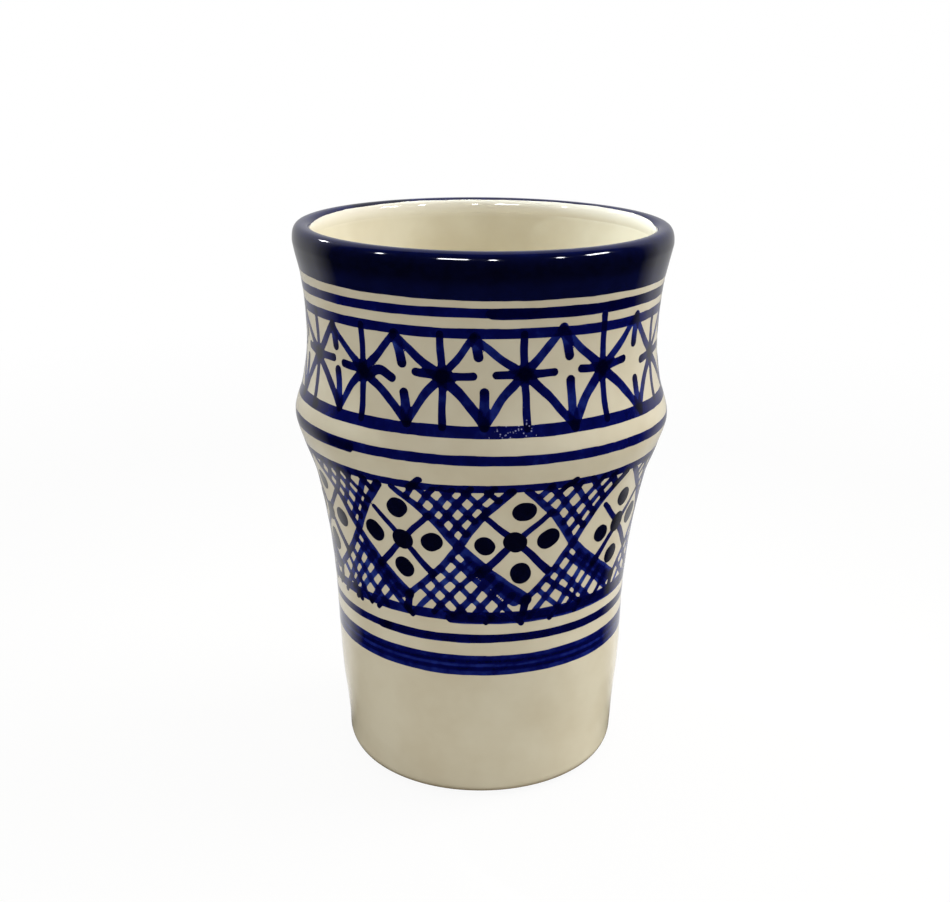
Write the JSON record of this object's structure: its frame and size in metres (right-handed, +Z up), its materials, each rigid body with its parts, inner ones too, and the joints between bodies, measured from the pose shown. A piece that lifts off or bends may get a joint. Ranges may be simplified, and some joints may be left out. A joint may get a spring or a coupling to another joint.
{
  "type": "drinking mug",
  "caption": "Handleless earthenware drinking mug: thrown tumbler with a ridge under the waist, cream glaze and hand-painted cobalt bands and friezes.",
  "frame": {"origin": "centre of the foot, on the surface that the cup stands on", "axes": "+Z up along the axis the cup was thrown on; -Y the side of the painting that faces the viewer"},
  "size_m": [0.081, 0.081, 0.12],
  "materials": {
    "clay": "matte",
    "cream_glaze": "gloss",
    "cobalt": "gloss",
    "deep_cobalt": "gloss"
  },
  "bodies": {
    "root": {"clay_body": "clay", "outer_glaze": "cream_glaze", "inner_glaze": "cream_glaze", "rim_band": "deep_cobalt", "collar_stripe": "cobalt", "star_top_line": "cobalt", "star_strokes": "cobalt", "star_bottom_line": "cobalt", "ridge_stripe": "cobalt", "lattice_top_line": "cobalt", "lattice_strokes": "cobalt", "lattice_dots": "deep_cobalt", "lattice_bottom_line": "cobalt", "lower_stripe": "cobalt", "broad_stripe": "cobalt"}
  },
  "joints": []
}
